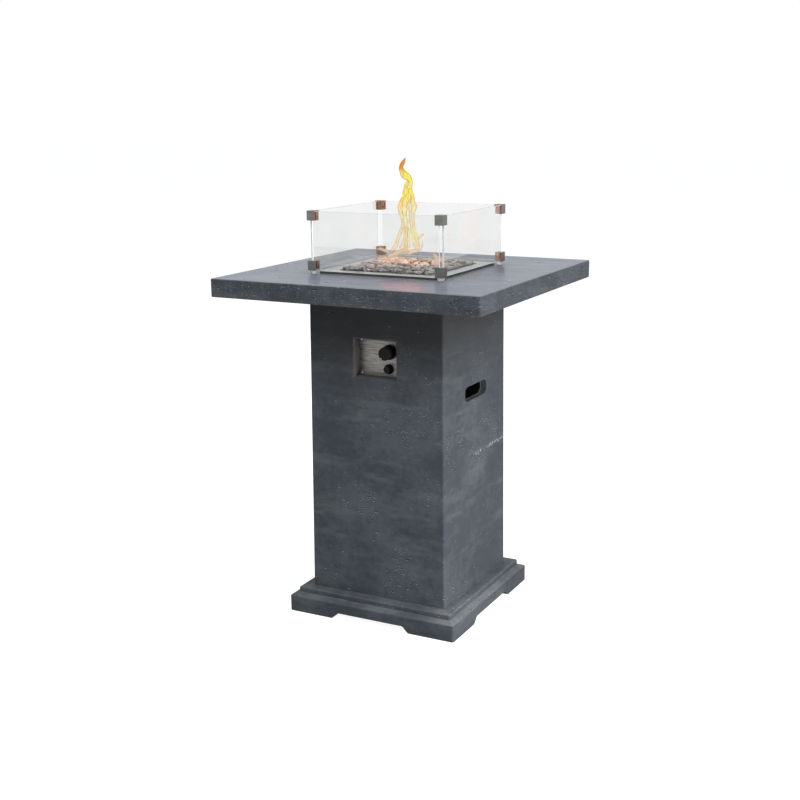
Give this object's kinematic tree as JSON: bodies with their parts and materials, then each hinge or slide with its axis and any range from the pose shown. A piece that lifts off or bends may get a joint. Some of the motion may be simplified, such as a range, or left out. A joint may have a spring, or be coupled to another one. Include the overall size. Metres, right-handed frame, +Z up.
{
  "type": "propane fire pit",
  "caption": "Square counter-height gas fire table on a drafted column with a stepped base, lava rock burner, glass wind guard and rear cylinder door.",
  "frame": {"origin": "on the floor, under the centre of the base", "axes": "+Z up, the control recess faces -Y and the cylinder door faces +Y"},
  "size_m": [0.711, 0.711, 1.0302],
  "materials": {
    "cast_stone": "matt, finely streaked and pitted",
    "brushed_steel": "brushed along the width",
    "bracket_steel": "dark brushed",
    "zinc_steel": "plain zinc",
    "black_steel": "satin black paint",
    "tank_enamel": "light grey enamel",
    "brass": "machined",
    "cast_alloy": "die-cast, satin",
    "feed_alloy": "drawn tube",
    "black_plastic": "satin moulded",
    "battery_jacket": "plain jacket",
    "black_rubber": "smooth hose",
    "white_ceramic": "glazed",
    "lava": "porous, rough",
    "clear_glass": "clear, polished edges",
    "clear_bumper": "clear soft bumper"
  },
  "bodies": {
    "table_body": {"table_slab": "cast_stone", "column": "cast_stone", "plinth": "cast_stone", "angle_brackets": "black_steel", "frame_bolts": "zinc_steel", "hinge_frame_leaves": "zinc_steel", "hinge_pins": "zinc_steel", "magnet_catch": "black_plastic", "wall_screws": "zinc_steel", "tank_tray": "black_steel", "cylinder_shell": "tank_enamel", "cylinder_foot_ring": "tank_enamel", "cylinder_collar": "tank_enamel", "cylinder_valve": "brass", "regulator_body": "cast_alloy", "regulator_bonnet": "cast_alloy", "gas_hose": "black_rubber", "hose_clips": "black_steel", "control_plate": "brushed_steel", "plate_screws": "zinc_steel", "valve_body": "brass", "valve_bonnet": "zinc_steel", "igniter_body": "black_plastic", "igniter_nut": "black_plastic", "igniter_battery": "battery_jacket", "igniter_lead": "black_rubber", "electrode_insulator": "white_ceramic", "electrode_rod": "brushed_steel", "thermocouple": "brass", "sensor_bracket": "brushed_steel", "burner_pan": "brushed_steel", "burner_ring": "brushed_steel", "burner_stem": "brushed_steel", "burner_locknut": "brushed_steel", "air_mixer": "brass", "gas_orifice": "brass", "feed_tube": "feed_alloy", "flare_nuts": "brass", "heat_shield": "brushed_steel", "lava_rocks": "lava"},
    "door_body": {"door_panel": "cast_stone", "hinge_door_leaves": "zinc_steel", "door_pull": "bracket_steel", "pull_screw": "zinc_steel", "strike_plate": "zinc_steel", "door_screws": "zinc_steel"},
    "plug_body": {"valve_plug": "brass"},
    "knob_body": {"valve_knob": "black_plastic", "valve_stem": "zinc_steel"},
    "button_body": {"igniter_button": "black_plastic"},
    "wheel_body": {"handwheel": "black_plastic", "cylinder_spindle": "zinc_steel"},
    "nut_body": {"coupling_nut": "black_plastic"},
    "guard_body": {"glass_front": "clear_glass", "glass_back": "clear_glass", "glass_left": "clear_glass", "glass_right": "clear_glass", "guard_brackets": "bracket_steel", "guard_screws": "zinc_steel", "guard_feet": "clear_bumper"}
  },
  "joints": [
    {"name": "door_swing", "type": "hinge", "parent": "table_body", "child": "door_body", "pos_m": [-0.1595, 0.19112, 0.32003], "axis": [0, -0.0065, 1], "range_deg": [0, 175]},
    {"name": "valve_turn", "type": "hinge", "parent": "table_body", "child": "plug_body", "pos_m": [0.0285, -0.1545, 0.6925], "axis": [0, -1, 0], "range_deg": [-145, 35]},
    {"name": "knob_push", "type": "slide", "parent": "plug_body", "child": "knob_body", "axis": [0, 1, 0], "range_m": [0, 0.004], "stiffness_N_per_m": 2000, "springref_m": -0.002},
    {"name": "igniter_press", "type": "slide", "parent": "table_body", "child": "button_body", "axis": [0, 1, 0], "range_m": [0, 0.004], "stiffness_N_per_m": 1500, "springref_m": -0.002},
    {"name": "cylinder_valve_turn", "type": "hinge", "parent": "table_body", "child": "wheel_body", "pos_m": [0, 0, 0.478], "axis": [0, 0, 1], "range_deg": [-720, 0]},
    {"name": "coupling_nut_turn", "type": "hinge", "parent": "table_body", "child": "nut_body", "pos_m": [-0.03182, 0.03182, 0.45], "axis": [-0.7071, 0.7071, 0], "range_deg": [0, 1080]},
    {"name": "guard_lift", "type": "slide", "parent": "table_body", "child": "guard_body", "axis": [0, 0, 1], "range_m": [0, 0.2]}
  ]
}
